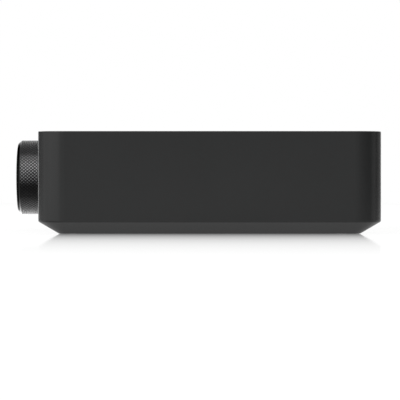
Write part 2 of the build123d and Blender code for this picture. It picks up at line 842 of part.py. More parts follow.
# Ribbon cable over the front of the heat sink, and the two plugs that it joins
front_plug_y = (front_board_y + board_thickness, front_board_y + board_thickness + plug_depth)
main_plug_y = (board_front_y + plug_inset, board_front_y + plug_inset + plug_depth)
front_plug_z = span(board_top_z + ribbon_front_rise, plug_height)
main_plug_z = (board_top_z, board_top_z + plug_height)
with BuildPart() as ribbon_plugs:
    block(span(ribbon_place, plug_width), front_plug_y, front_plug_z)
    block(span(ribbon_place, plug_width), main_plug_y, main_plug_z)
ribbon_plugs.part.label = "ribbon_plugs"
export_step(ribbon_plugs.part, "parts/ribbon_plugs.step")

with BuildPart() as ribbon_cable:
    main_plug_row = sum(main_plug_y) / 2
    front_plug_row = board_top_z + ribbon_front_rise
    crown_z = board_top_z + ribbon_crown_rise
    with BuildSketch(Plane.YZ.offset(ribbon_place)):
        with BuildLine():
            FilletPolyline(
                (front_plug_y[1], front_plug_row),
                ((front_plug_y[1] + main_plug_row) / 2, front_plug_row),
                (main_plug_row, crown_z),
                (main_plug_row, main_plug_z[1]),
                radius=ribbon_bend_radius,
            )
        trace(line_width=ribbon_thickness)
    extrude(amount=ribbon_width / 2, both=True)
ribbon_cable.part.label = "ribbon_cable"
export_step(ribbon_cable.part, "parts/ribbon_cable.step")


# Mains inlet for a figure-of-eight lead, and its two pins
inlet_x = row_x["inlet"]
inlet_back_y = socket_face_y - inlet_size[1]
inlet_floor_y = socket_face_y - inlet_cavity_depth
inlet_pin_xs = span(inlet_x, inlet_lobe_spacing)
with BuildPart() as mains_inlet:
    block(span(inlet_x, inlet_size[0]), (inlet_back_y, socket_face_y), span(inlet_z, inlet_size[2]))
    with BuildSketch(upright(socket_face_y)):
        with Locations(*[(x, inlet_z) for x in inlet_pin_xs]):
            Circle(inlet_lobe_radius)
        with Locations((inlet_x, inlet_z)):
            Rectangle(inlet_lobe_spacing, inlet_waist)
    extrude(amount=inlet_cavity_depth, mode=Mode.SUBTRACT)
    for x in inlet_pin_xs:
        bar_y(x, inlet_z, (inlet_back_y, inlet_floor_y), inlet_pin_root_radius + glue_gap, Mode.SUBTRACT)
mains_inlet.part.label = "mains_inlet"
export_step(mains_inlet.part, "parts/mains_inlet.step")

with BuildPart() as mains_pins:
    for x in inlet_pin_xs:
        bar_y(x, inlet_z, (inlet_back_y, inlet_floor_y), inlet_pin_root_radius)
        bar_y(x, inlet_z, (inlet_floor_y, socket_face_y - inlet_pin_setback), inlet_pin_radius)
mains_pins.part.label = "mains_pins"
export_step(mains_pins.part, "parts/mains_pins.step")


# Fuse: a glass tube between two end caps that rest in clips
fuse_y = panel_outer_y - fuse_row
fuse_x = fuse_side - board_side_x
fuse_z = board_top_z + fuse_lift
with BuildPart() as fuse:
    bar_x(fuse_y, fuse_z, span(fuse_x, fuse_length), fuse_radius - fuse_cap_thickness)
    for x in span(fuse_x, fuse_length - fuse_cap_length):
        bar_x(fuse_y, fuse_z, span(x, fuse_cap_length), fuse_radius)
        block(span(x, fuse_cap_length / 2), span(fuse_y, 2 * fuse_radius), (board_top_z, fuse_z))
fuse.part.label = "fuse"
export_step(fuse.part, "parts/fuse.step")


# Mains choke, lying flat on the power board
with BuildPart() as mains_choke:
    with Locations((choke_side - board_side_x, panel_outer_y - choke_row, board_top_z + choke_tube_radius)):
        Torus(choke_radius, choke_tube_radius)
mains_choke.part.label = "mains_choke"
export_step(mains_choke.part, "parts/mains_choke.step")


# Transformer: a ferrite core round a wound bobbin
with BuildPart() as transformer:
    for size in (transformer_core_size, transformer_bobbin_size):
        block(
            span(power_x, size[0]),
            span(panel_outer_y - transformer_row, size[1]),
            (board_top_z, board_top_z + size[2]),
        )
transformer.part.label = "transformer"
export_step(transformer.part, "parts/transformer.step")


# Bulk capacitors at the front of the power board
with BuildPart() as bulk_capacitors:
    for x in span(power_x, bulk_capacitor_pitch):
        y = board_front_y + bulk_capacitor_row
        bar_z(x, y, (board_top_z, board_top_z + bulk_capacitor_height), bulk_capacitor_radius)
    fillet(bulk_capacitors.faces().group_by(Axis.Z)[-1].edges(), capacitor_edge_radius)
bulk_capacitors.part.label = "bulk_capacitors"
export_step(bulk_capacitors.part, "parts/bulk_capacitors.step")


# Network socket, open at the rear, with a slot for the plug's latch
ethernet_cavity_low_z = board_top_z + ethernet_cavity_lift
with BuildPart() as ethernet_socket:
    block(
        span(row_x["ethernet"], ethernet_size[0]),
        (socket_face_y - ethernet_size[1], socket_face_y),
        (board_top_z, board_top_z + ethernet_size[2]),
    )
    cavity_y = (socket_face_y - ethernet_cavity[1], socket_face_y)
    block(
        span(row_x["ethernet"], ethernet_cavity[0]),
        cavity_y,
        (ethernet_cavity_low_z, ethernet_cavity_low_z + ethernet_cavity[2]),
        Mode.SUBTRACT,
    )
    block(
        span(row_x["ethernet"], ethernet_latch_width),
        cavity_y,
        (ethernet_cavity_low_z - ethernet_latch_depth, ethernet_cavity_low_z),
        Mode.SUBTRACT,
    )
ethernet_socket.part.label = "ethernet_socket"
export_step(ethernet_socket.part, "parts/ethernet_socket.step")


# USB socket: a folded metal shell with a plastic tongue inside
with BuildPart() as usb_shell:
    with BuildSketch(upright(socket_face_y)):
        with Locations((row_x["usb"], usb_z)):
            Rectangle(usb_size[0], usb_size[2])
            Rectangle(usb_size[0] - 2 * usb_wall, usb_size[2] - 2 * usb_wall, mode=Mode.SUBTRACT)
    extrude(amount=usb_size[1])
usb_shell.part.label = "usb_shell"
export_step(usb_shell.part, "parts/usb_shell.step")

with BuildPart() as usb_tongue:
    usb_back_y = socket_face_y - usb_size[1]
    block(
        span(row_x["usb"], usb_size[0] - 2 * (usb_wall + glue_gap)),
        (usb_back_y, usb_back_y + insulator_depth),
        span(usb_z, usb_size[2] - 2 * (usb_wall + glue_gap)),
    )
    usb_tongue_high_z = usb_z + usb_size[2] / 2 - usb_wall - usb_tongue_drop
    block(
        span(row_x["usb"], usb_tongue_size[0]),
        (usb_back_y + insulator_depth, usb_back_y + insulator_depth + usb_tongue_size[1]),
        (usb_tongue_high_z - usb_tongue_size[2], usb_tongue_high_z),
    )
usb_tongue.part.label = "usb_tongue"
export_step(usb_tongue.part, "parts/usb_tongue.step")


# HDMI socket: a metal shell with its lower corners cut, and a plastic tongue
with BuildPart() as hdmi_shell:
    hdmi_half_width = hdmi_size[0] / 2
    hdmi_half_height = hdmi_size[2] / 2
    with BuildSketch(Plane((row_x["hdmi"], socket_face_y, hdmi_z), x_dir=(1, 0, 0), z_dir=(0, -1, 0))):
        with BuildLine():
            Polyline(
                (0, hdmi_half_height),
                (hdmi_half_width, hdmi_half_height),
                (hdmi_half_width, hdmi_corner_cut - hdmi_half_height),
                (hdmi_half_width - hdmi_corner_cut, -hdmi_half_height),
                (0, -hdmi_half_height),
            )
            mirror(about=Plane.YZ)
        make_face()
        offset(amount=-hdmi_wall, kind=Kind.INTERSECTION, mode=Mode.SUBTRACT)
    extrude(amount=hdmi_size[1])
hdmi_shell.part.label = "hdmi_shell"
export_step(hdmi_shell.part, "parts/hdmi_shell.step")

with BuildPart() as hdmi_tongue:
    hdmi_back_y = socket_face_y - hdmi_size[1]
    block(
        span(row_x["hdmi"], hdmi_size[0] - 2 * hdmi_corner_cut - 2 * hdmi_wall),
        (hdmi_back_y, hdmi_back_y + insulator_depth),
        span(hdmi_z, hdmi_size[2] - 2 * (hdmi_wall + glue_gap)),
    )
    block(
        span(row_x["hdmi"], hdmi_tongue_size[0]),
        (hdmi_back_y, hdmi_back_y + insulator_depth + hdmi_tongue_size[1] - hdmi_wall),
        span(hdmi_z, hdmi_tongue_size[2]),
    )
hdmi_tongue.part.label = "hdmi_tongue"
export_step(hdmi_tongue.part, "parts/hdmi_tongue.step")


# Optical socket, with blind holes in its side walls for the shutter's pins
optical_x = row_x["optical"]
optical_cavity_x = span(optical_x, optical_cavity[0])
optical_cavity_z = span(optical_z, optical_cavity[2])
shutter_pin_z = optical_cavity_z[1] - shutter_pin_drop
shutter_y = (socket_face_y - shutter_setback - shutter_thickness, socket_face_y - shutter_setback)
shutter_pin_y = sum(shutter_y) / 2
pin_hole_reach = shutter_pin_reach + shutter_pin_clearance
with BuildPart() as optical_socket:
    block(
        span(optical_x, optical_size[0]),
        (socket_face_y - optical_size[1], socket_face_y),
        (board_top_z, board_top_z + optical_size[2]),
    )
    optical_cavity_y = (socket_face_y - optical_cavity[1], socket_face_y)
    block(optical_cavity_x, optical_cavity_y, optical_cavity_z, Mode.SUBTRACT)
    bar_x(
        shutter_pin_y,
        shutter_pin_z,
        (optical_cavity_x[0] - pin_hole_reach, optical_cavity_x[1] + pin_hole_reach),
        shutter_pin_radius + shutter_pin_clearance,
        Mode.SUBTRACT,
    )
optical_socket.part.label = "optical_socket"
export_step(optical_socket.part, "parts/optical_socket.step")


# Shutter that swings inwards about its pin when a plug goes in
with BuildPart() as optical_shutter:
    shutter_x = (optical_cavity_x[0] + shutter_side_gap, optical_cavity_x[1] - shutter_side_gap)
    block(shutter_x, shutter_y, (optical_cavity_z[0] + shutter_low_gap, shutter_pin_z + shutter_top))
    shutter_pin_x = (optical_cavity_x[0] - shutter_pin_reach, optical_cavity_x[1] + shutter_pin_reach)
    bar_x(shutter_pin_y, shutter_pin_z, shutter_pin_x, shutter_pin_radius)
optical_shutter.part.label = "optical_shutter"
export_step(optical_shutter.part, "parts/optical_shutter.step")


# Phono jacks: plastic blocks on the main board, metal barrels and insulating inserts
jack_face_y = panel_inner_y - jack_block_gap
jack_end_y = panel_outer_y + jack_barrel_reach
with BuildPart() as jack_blocks:
    for item, high_z in (("sub_jack", jack_low_z), ("line_jacks", jack_low_z + jack_pitch)):
        block(
            span(row_x[item], jack_block_width),
            (jack_face_y - jack_block_depth, jack_face_y),
            (board_top_z, high_z + jack_block_margin),
        )
jack_blocks.part.label = "jack_blocks"
export_step(jack_blocks.part, "parts/jack_blocks.step")

with BuildPart() as jack_barrels:
    for x, z in jack_places:
        bar_y(x, z, (jack_face_y, jack_end_y), jack_barrel_radius)
        bar_y(x, z, (panel_outer_y, panel_outer_y + jack_collar_thickness), jack_collar_radius)
        bar_y(x, z, (jack_face_y, jack_end_y), jack_barrel_bore, Mode.SUBTRACT)
jack_barrels.part.label = "jack_barrels"
export_step(jack_barrels.part, "parts/jack_barrels.step")

with BuildPart() as jack_inserts:
    insert_end_y = jack_end_y - jack_insert_setback
    for x, z in jack_places:
        bar_y(x, z, (jack_face_y, insert_end_y), jack_barrel_bore - glue_gap)
        bar_y(x, z, (insert_end_y - jack_pin_depth, insert_end_y), jack_pin_bore, Mode.SUBTRACT)
jack_inserts.part.label = "jack_inserts"
export_step(jack_inserts.part, "parts/jack_inserts.step")


# Binding posts: insulating collars through the panel, and drilled studs through the collars
collar_end_y = panel_outer_y + collar_thickness
washer_y = collar_end_y + washer_clearance
cap_y = washer_y + washer_thickness + washer_clearance
cap_end_y = cap_y + cap_length
cap_floor_y = cap_end_y - cap_end_thickness
stud_end_y = cap_floor_y - stud_end_gap
stud_shoulder_y = panel_inner_y - stud_shoulder
stud_tail_y = stud_shoulder_y - stud_tail_length
wire_hole_y = collar_end_y + wire_hole_gap + wire_hole_radius
with BuildPart() as post_collars:
    for x, z in terminal_places.values():
        bar_y(x, z, (panel_outer_y, collar_end_y), collar_radius)
        bar_y(x, z, (panel_inner_y, panel_outer_y), collar_neck_radius)
        bar_y(x, z, (panel_inner_y, collar_end_y), stud_radius + thread_clearance, Mode.SUBTRACT)
post_collars.part.label = "post_collars"
export_step(post_collars.part, "parts/post_collars.step")

with BuildPart() as post_studs:
    for x, z in terminal_places.values():
        bar_y(x, z, (stud_shoulder_y, stud_end_y), stud_radius)
        bar_y(x, z, (stud_tail_y, stud_shoulder_y), stud_tail_radius)
        bar_y(x, z, (stud_end_y - banana_bore_depth, stud_end_y), banana_bore_radius, Mode.SUBTRACT)
        bar_x(wire_hole_y, z, span(x, 2 * stud_radius), wire_hole_radius, Mode.SUBTRACT)
post_studs.part.label = "post_studs"
export_step(post_studs.part, "parts/post_studs.step")


# Clamp washers and screw caps of the binding posts, one of each on every stud
for post, (x, z) in terminal_places.items():
    with BuildPart() as washer:
        bar_y(x, z, (washer_y, washer_y + washer_thickness), washer_radius)
        bar_y(x, z, (washer_y, washer_y + washer_thickness), stud_radius + washer_clearance, Mode.SUBTRACT)
    washer.part.label = "washer_" + post
    export_step(washer.part, f"parts/washer_{post}.step")

    with BuildPart() as cap:
        bar_y(x, z, (cap_y, cap_end_y), cap_radius)
        fillet(cap.faces().sort_by(Axis.Y)[-1].edges(), cap_edge_radius)
        bar_y(x, z, (cap_y, cap_floor_y), stud_radius + cap_thread_clearance, Mode.SUBTRACT)
        bar_y(x, z, (cap_floor_y, cap_end_y), cap_end_hole_radius, Mode.SUBTRACT)
        with BuildSketch(upright(cap_end_y)):
            with Locations((x, z)):
                with PolarLocations(cap_radius, cap_groove_count):
                    Circle(cap_groove_radius)
        extrude(amount=cap_groove_length, mode=Mode.SUBTRACT)
    cap.part.label = "cap_" + post
    export_step(cap.part, f"parts/cap_{post}.step")


# Terminal board that the studs' tails pass through, standing on the power board
with BuildPart() as terminal_board:
    terminal_left_x = row_x["left_posts"] - collar_radius - terminal_board_overlap
    terminal_right_x = row_x["right_posts"] + collar_radius + terminal_board_overlap
    terminal_y = (ledge_y - terminal_board_gap - board_thickness, ledge_y - terminal_board_gap)
    block((terminal_left_x, terminal_right_x), terminal_y, (board_top_z, window_high_z - ledge_edge))
    for x, z in terminal_places.values():
        bar_y(x, z, terminal_y, stud_tail_radius + socket_clearance, Mode.SUBTRACT)
terminal_board.part.label = "terminal_board"
export_step(terminal_board.part, "parts/terminal_board.step")


# Control board with the setup switch, standing on the main board in front of the sockets
control_y = socket_face_y - ethernet_size[1] - control_board_gap
with BuildPart() as control_board:
    block(
        span(button_x, control_board_width),
        (control_y - board_thickness, control_y),
        (board_top_z, window_z + control_board_rise),
    )
control_board.part.label = "control_board"
export_step(control_board.part, "parts/control_board.step")

switch_end_y = control_y + switch_depth
with BuildPart() as setup_switch:
    block(span(button_x, switch_width), (control_y, switch_end_y), span(button_z, switch_width))
    well_y = (switch_end_y - button_entry - 2 * button_travel, switch_end_y)
    bar_y(button_x, button_z, well_y, switch_well_radius, Mode.SUBTRACT)
setup_switch.part.label = "setup_switch"
export_step(setup_switch.part, "parts/setup_switch.step")

with BuildPart() as setup_button:
    bar_y(button_x, button_z, (switch_end_y - button_entry, panel_outer_y + button_proud), button_radius)
    flange_end_y = panel_inner_y - contact_gap
    bar_y(button_x, button_z, (flange_end_y - button_flange_thickness, flange_end_y), button_flange_radius)
setup_button.part.label = "setup_button"
export_step(setup_button.part, "parts/setup_button.step")
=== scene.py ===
import json
import math

import bpy
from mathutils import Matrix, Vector


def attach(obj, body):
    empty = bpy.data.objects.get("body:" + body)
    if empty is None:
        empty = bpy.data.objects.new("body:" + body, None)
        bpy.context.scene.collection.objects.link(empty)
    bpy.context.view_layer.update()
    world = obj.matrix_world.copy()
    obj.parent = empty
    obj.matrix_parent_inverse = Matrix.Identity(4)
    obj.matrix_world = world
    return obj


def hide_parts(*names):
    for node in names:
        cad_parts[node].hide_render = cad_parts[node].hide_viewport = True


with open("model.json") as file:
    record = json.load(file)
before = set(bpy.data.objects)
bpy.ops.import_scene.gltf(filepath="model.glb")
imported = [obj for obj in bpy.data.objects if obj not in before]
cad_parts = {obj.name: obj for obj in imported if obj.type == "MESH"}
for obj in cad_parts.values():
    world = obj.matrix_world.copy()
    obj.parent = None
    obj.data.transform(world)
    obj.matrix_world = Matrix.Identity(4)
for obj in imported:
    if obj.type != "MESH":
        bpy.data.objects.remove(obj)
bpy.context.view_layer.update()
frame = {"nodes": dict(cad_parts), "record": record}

nodes = frame["nodes"]

joints = {joint["name"]: joint for joint in frame["record"]["behaviour"]["joints"]}
knob_x, _, knob_z = joints["knob_turn"]["pos_m"]

# Places and sizes that repeat part.py's, in metres
knob_radius = 0.02275
knob_bore_radius = 0.01995
knob_front_y, knob_back_y = -0.1175, -0.1010
socket_face_y = 0.0885
network_x, network_roof_z, network_back_y = 0.0686, 0.0265, 0.0745
usb_x, usb_tongue_low_z, usb_tongue_y = 0.05105, 0.0179, (0.0775, 0.0865)
hdmi_x, hdmi_tongue_z, hdmi_tongue_y = 0.0339, (0.01685, 0.01875), (0.08, 0.08755)


# Materials

# Parts of a noise's range over which a colour and a number vary
colour_span = (0.35, 0.65)
number_span = (0.3, 0.7)


def material(name):
    """New material, its node tree and its main shader"""
    made = bpy.data.materials.new(name)
    made.use_nodes = True
    shader = made.node_tree.nodes["Principled BSDF"]
    return made, made.node_tree, shader


def noise(tree, scale, detail=3.0, stretch=None):
    """Noise in object coordinates, scale in cycles per metre"""
    place = tree.nodes.new("ShaderNodeTexCoord")
    texture = tree.nodes.new("ShaderNodeTexNoise")
    texture.inputs["Scale"].default_value = scale
    texture.inputs["Detail"].default_value = detail
    if stretch:
        mapping = tree.nodes.new("ShaderNodeMapping")
        mapping.inputs["Scale"].default_value = stretch
        tree.links.new(place.outputs["Object"], mapping.inputs["Vector"])
        tree.links.new(mapping.outputs["Vector"], texture.inputs["Vector"])
    else:
        tree.links.new(place.outputs["Object"], texture.inputs["Vector"])
    return texture.outputs["Fac"]


def ramp(tree, value, low, high):
    """Colour between low and high, by a noise"""
    node = tree.nodes.new("ShaderNodeValToRGB")
    node.color_ramp.elements[0].position = colour_span[0]
    node.color_ramp.elements[1].position = colour_span[1]
    node.color_ramp.elements[0].color = (*low, 1.0)
    node.color_ramp.elements[1].color = (*high, 1.0)
    tree.links.new(value, node.inputs["Fac"])
    return node.outputs["Color"]


def spread(tree, value, low, high):
    """Number between low and high, by a noise"""
    node = tree.nodes.new("ShaderNodeMapRange")
    node.inputs["From Min"].default_value = number_span[0]
    node.inputs["From Max"].default_value = number_span[1]
    node.inputs["To Min"].default_value = low
    node.inputs["To Max"].default_value = high
    tree.links.new(value, node.inputs["Value"])
    return node.outputs["Result"]


def bump(tree, shader, height, depth):
    """Relief of that depth, in metres"""
    node = tree.nodes.new("ShaderNodeBump")
    node.inputs["Distance"].default_value = depth
    tree.links.new(height, node.inputs["Height"])
    tree.links.new(node.outputs["Normal"], shader.inputs["Normal"])


def surface(
    name, colour, rough=(0.45, 0.6), metallic=0.0, specular=0.5, grain=2500.0, grain_depth=0.00002,
    patch=60.0, shift=0.12, coat=0.0, coat_rough=0.1, stretch=None, edge=1.0,
):
    """Painted, moulded or turned surface: colour varies in patches, roughness and bump in fine grain

    patch and grain are in cycles per metre, shift is the share by which the colour varies, and edge
    tints the reflection.
    """
    made, tree, shader = material(name)
    broad = noise(tree, patch, 4.0, stretch)
    fine = noise(tree, grain, 2.0, stretch)
    low = tuple(channel * (1.0 - shift) for channel in colour)
    high = tuple(min(1.0, channel * (1.0 + shift)) for channel in colour)
    tree.links.new(ramp(tree, broad, low, high), shader.inputs["Base Color"])
    tree.links.new(spread(tree, fine, *rough), shader.inputs["Roughness"])
    bump(tree, shader, fine, grain_depth)
    shader.inputs["Metallic"].default_value = metallic
    shader.inputs["Specular IOR Level"].default_value = specular
    shader.inputs["Specular Tint"].default_value = (edge, edge, edge, 1.0)
    shader.inputs["Coat Weight"].default_value = coat
    shader.inputs["Coat Roughness"].default_value = coat_rough
    return made


looks = {
    "housing": surface("powder_paint", (0.0135, 0.0139, 0.0139), (0.22, 0.28), specular=0.25, grain=4200.0,
                       grain_depth=0.000003, patch=25.0, shift=0.04),
    "base_plate": surface("base_paint", (0.0108, 0.011, 0.011), (0.45, 0.6), specular=0.25, grain=4200.0,
                          grain_depth=0.00001, patch=25.0, shift=0.05),
    "rubber": surface("mat_rubber", (0.018, 0.018, 0.018), (0.75, 0.9), specular=0.3, grain=1800.0,
                      grain_depth=0.00006),
    "screw_steel": surface("zinc_steel", (0.42, 0.42, 0.43), (0.28, 0.42), metallic=1.0),
    "dark_screw": surface("black_oxide", (0.06, 0.06, 0.062), (0.32, 0.45), metallic=1.0),
    "rear_plastic": surface("rear_plastic", (0.016, 0.016, 0.017), (0.55, 0.7), grain=3000.0,
                            grain_depth=0.00003),
    "knob_metal": surface("black_anodised", (0.0135, 0.0135, 0.0137), (0.28, 0.34), metallic=1.0,
                          grain_depth=0.000001),
    # Darker colour for the knurl's groove faces: painted shade that stands in for the shade falling in the
    # valleys between the flat tops
    "knob_groove_painted_shade": surface("anodised_groove_painted_shade", (0.003, 0.003, 0.0031), (0.3, 0.4), metallic=1.0,
                           grain_depth=0.000001),
    "knob_black": surface("black_chamfer", (0.006, 0.006, 0.0062), (0.14, 0.2), metallic=1.0,
                          grain_depth=0.000001, edge=0.5),
    "knob_gloss": surface("knob_gloss", (0.008, 0.008, 0.0085), (0.08, 0.14), coat=0.6, coat_rough=0.05,
                          grain_depth=0.000002),
    "hub_plastic": surface("hub_plastic", (0.05, 0.05, 0.05)),
    "encoder_metal": surface("encoder_nickel", (0.5, 0.49, 0.46), (0.3, 0.4), metallic=1.0),
    "shaft_steel": surface("turned_steel", (0.55, 0.55, 0.55), (0.25, 0.4), metallic=1.0,
                           stretch=(1.0, 8.0, 1.0)),
    "pale_plastic": surface("natural_nylon", (0.7, 0.68, 0.62), (0.4, 0.55)),
    "circuit_board": surface("solder_resist", (0.012, 0.09, 0.04), (0.25, 0.4), coat=0.3),
    "chip_plastic": surface("moulded_epoxy", (0.02, 0.02, 0.022), (0.5, 0.65)),
    "smoked_plastic": surface("smoked_window", (0.012, 0.006, 0.009), (0.05, 0.1), coat=0.5,
                              coat_rough=0.04, grain_depth=0.000001),
    "light_plastic": surface("light_guide", (0.62, 0.65, 0.68), (0.15, 0.25), coat=0.4,
                             grain_depth=0.000002),
    "standoff_brass": surface("turned_brass", (0.65, 0.48, 0.2), (0.28, 0.4), metallic=1.0),
    "heat_sink_metal": surface("bare_aluminium", (0.58, 0.59, 0.6), (0.3, 0.45), metallic=1.0,
                               stretch=(1.0, 6.0, 1.0)),
    "ferrite": surface("ferrite", (0.09, 0.09, 0.095), (0.6, 0.75)),
    "module_board": surface("module_board", (0.01, 0.03, 0.11), (0.25, 0.4), coat=0.3),
    "shield_metal": surface("tinned_shield", (0.62, 0.62, 0.6), (0.3, 0.45), metallic=1.0),
    "antenna_film": surface("antenna_film", (0.4, 0.2, 0.04), (0.3, 0.4)),
    "ribbon_vinyl": surface("ribbon_vinyl", (0.42, 0.42, 0.42), (0.45, 0.55)),
    "socket_plastic": surface("socket_plastic", (0.02, 0.02, 0.021), (0.4, 0.55), grain_depth=0.000015),
    "pin_nickel": surface("nickel_pin", (0.66, 0.64, 0.6), (0.2, 0.3), metallic=1.0),
    "copper_winding": surface("copper_winding", (0.55, 0.24, 0.1), (0.3, 0.4), metallic=0.8),
    "transformer_tape": surface("transformer_tape", (0.62, 0.45, 0.06), (0.35, 0.5)),
    "capacitor_sleeve": surface("capacitor_sleeve", (0.02, 0.02, 0.035), (0.2, 0.35), coat=0.3),
    "shell_metal": surface("tinned_shell", (0.66, 0.66, 0.65), (0.22, 0.34), metallic=1.0),
    "shutter_plastic": surface("shutter_plastic", (0.035, 0.035, 0.036), (0.4, 0.55)),
    "plated_brass": surface("gold_plate", (0.86, 0.62, 0.25), (0.16, 0.28), metallic=1.0,
                            grain_depth=0.000004),
    "collar_plastic": surface("collar_plastic", (0.016, 0.016, 0.017), (0.35, 0.5)),
    "button_plastic": surface("button_plastic", (0.04, 0.04, 0.041), (0.35, 0.5)),
    "cap_red": surface("red_cap", (0.42, 0.008, 0.01), (0.2, 0.3), specular=0.3, coat=0.2,
                       grain_depth=0.000003),
    "cap_black": surface("black_cap", (0.012, 0.012, 0.013), (0.2, 0.3), specular=0.3, coat=0.2,
                         grain_depth=0.000003),
}


def glass(name, colour):
    """Slightly uneven glass"""
    made, tree, shader = material(name)
    streak = noise(tree, 300.0)
    tree.links.new(ramp(tree, streak, tuple(0.9 * c for c in colour), colour), shader.inputs["Base Color"])
    tree.links.new(spread(tree, streak, 0.03, 0.08), shader.inputs["Roughness"])
    shader.inputs["Transmission Weight"].default_value = 0.7
    return made


def banded(name, x_split, z_split):
    """Jack inserts: white above and red below z_split, and black up to x_split, for the subwoofer's"""
    made, tree, shader = material(name)
    place = tree.nodes.new("ShaderNodeTexCoord")
    axes = tree.nodes.new("ShaderNodeSeparateXYZ")
    tree.links.new(place.outputs["Object"], axes.inputs["Vector"])
    above = tree.nodes.new("ShaderNodeMath")
    above.operation = "GREATER_THAN"
    above.inputs[1].default_value = z_split
    tree.links.new(axes.outputs["Z"], above.inputs[0])
    beside = tree.nodes.new("ShaderNodeMath")
    beside.operation = "GREATER_THAN"
    beside.inputs[1].default_value = x_split
    tree.links.new(axes.outputs["X"], beside.inputs[0])
    line = tree.nodes.new("ShaderNodeMix")
    line.data_type = "RGBA"
    line.inputs["A"].default_value = insert_red
    line.inputs["B"].default_value = insert_white
    tree.links.new(above.outputs["Value"], line.inputs["Factor"])
    both = tree.nodes.new("ShaderNodeMix")
    both.data_type = "RGBA"
    both.inputs["A"].default_value = insert_black
    tree.links.new(line.outputs["Result"], both.inputs["B"])
    tree.links.new(beside.outputs["Value"], both.inputs["Factor"])
    tree.links.new(both.outputs["Result"], shader.inputs["Base Color"])
    tree.links.new(spread(tree, noise(tree, 2500.0), 0.25, 0.4), shader.inputs["Roughness"])
    return made


insert_red, insert_white = (0.5, 0.012, 0.012, 1.0), (0.75, 0.74, 0.7, 1.0)
insert_black = (0.02, 0.02, 0.02, 1.0)
insert_x_split, insert_z_split = -0.005, 0.0305
looks["fuse_glass"] = glass("fuse_glass", (0.82, 0.84, 0.84))
looks["jack_insert_plastic"] = banded("jack_inserts", insert_x_split, insert_z_split)

slot_of = {entry["node"]: entry["material_slot"] for entry in frame["record"]["subparts"]}
for name, node in nodes.items():
    node.data.materials.clear()
    node.data.materials.append(looks[slot_of[name]])


# Pieces made here

def mesh_piece(name, points, faces, slot, body):
    """Flat-shaded piece that rides on a body and looks as its slot says"""
    mesh = bpy.data.meshes.new(name)
    mesh.from_pydata(points, [], faces)
    mesh.validate()
    mesh.polygons.foreach_set("use_smooth", [False] * len(mesh.polygons))
    mesh.materials.append(looks[slot])
    piece = bpy.data.objects.new(name, mesh)
    bpy.context.scene.collection.objects.link(piece)
    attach(piece, body)
    return piece


def turned(profile, segments, x, z):
    """Points and faces of a profile of (y, radius) pairs turned about a line along Y"""
    points, faces = [], []
    for index in range(segments):
        angle = 2 * math.pi * index / segments
        for y, radius in profile:
            points.append((x + radius * math.sin(angle), y, z + radius * math.cos(angle)))
    count = len(profile)
    for index in range(segments):
        following = (index + 1) % segments
        for step in range(count - 1):
            faces.append((
                index * count + step, following * count + step,
                following * count + step + 1, index * count + step + 1,
            ))
    return points, faces


def knurl(x, z, radius, depth, low_y, high_y, round_count, row_count, flat):
    """Diamond knurl: flat-topped pyramids on a grid of peaks and valleys round a line along Y

    flat is the share of the way to the next valley that a flat top takes. Returns the points, the
    faces of the flat tops and the faces of the grooves between them.
    """
    points, flats, grooves, valley, tops = [], [], [], {}, {}
    columns = 2 * round_count
    steps = ((1, 0), (0, 1), (-1, 0), (0, -1))

    def place(column, row, reach):
        angle = 2 * math.pi * column / columns
        y = low_y + (high_y - low_y) * row / row_count
        return (x + reach * math.sin(angle), y, z + reach * math.cos(angle))

    for column in range(columns):
        for row in range(row_count + 1):
            if (column + row) % 2:
                valley[column, row] = len(points)
                points.append(place(column, row, radius - depth))
                continue
            for step in steps:
                if 0 <= row + step[1] <= row_count:
                    tops[column, row, step] = len(points)
                    points.append(place(column + flat * step[0], row + flat * step[1], radius))
    for column in range(columns):
        for row in range(row_count + 1):
            if (column + row) % 2:
                continue
            ring = [step for step in steps if (column, row, step) in tops]
            if row == row_count:
                ring = [(1, 0), (0, -1), (-1, 0)]
            flats.append([tops[column, row, step] for step in ring])
            for first, second in zip(steps, steps[1:] + steps[:1]):
                if (column, row, first) not in tops or (column, row, second) not in tops:
                    continue
                near = valley[(column + first[0]) % columns, row + first[1]]
                far = valley[(column + second[0]) % columns, row + second[1]]
                grooves.append([tops[column, row, first], near, far, tops[column, row, second]])
    return points, flats, grooves


# Knob ring: the knurled grip, and a rim with a black chamfer and the grip's own small corner
knurl_depth, knurl_flat_share = 0.00016, 0.58
knurl_round_count, knurl_row_count = 74, 12
face_edge_radius, black_radius, black_depth, corner_depth = 0.0209, 0.0222, 0.0015, 0.00205
front_land, back_land = 0.0004, 0.0008
knurl_low_y = knob_front_y + corner_depth + front_land
knurl_high_y = knob_back_y - back_land
groove_radius = knob_radius - knurl_depth
hair, small_cut, back_cut = 0.0001, 0.0002, 0.0003

points, flats, grooves = knurl(
    knob_x, knob_z, knob_radius, knurl_depth, knurl_low_y, knurl_high_y,
    knurl_round_count, knurl_row_count, knurl_flat_share,
)
grip = mesh_piece("knob_knurl", points, flats + grooves, "knob_metal", "knob")
# The groove faces take the darker groove material, painted shade in the knurl's valleys
grip.data.materials.append(looks["knob_groove_painted_shade"])
grip.data.polygons.foreach_set("material_index", [0] * len(flats) + [1] * len(grooves))

# Rim's (y, radius) points, from the knurl's front end over the chamfer, the face and the bore to its back end
ring_profile = [
    (knurl_low_y + hair / 2, groove_radius - hair),
    (knurl_low_y, groove_radius),
    (knurl_low_y - hair, knob_radius - 0.00004),
    (knob_front_y + corner_depth + hair, knob_radius),
    (knob_front_y + corner_depth - hair, knob_radius - 0.00006),
    (knob_front_y + black_depth, black_radius),
    (knob_front_y + hair, face_edge_radius + hair),
    (knob_front_y, face_edge_radius - hair),
    (knob_front_y, knob_bore_radius + small_cut),
    (knob_front_y + small_cut, knob_bore_radius),
    (knob_back_y - small_cut, knob_bore_radius),
    (knob_back_y, knob_bore_radius + small_cut),
    (knob_back_y, knob_radius - back_cut),
    (knob_back_y - back_cut, knob_radius - 0.00003),
    (knurl_high_y + small_cut, knob_radius - 0.00004),
    (knurl_high_y, groove_radius),
    (knurl_high_y - hair / 2, groove_radius - hair),
]
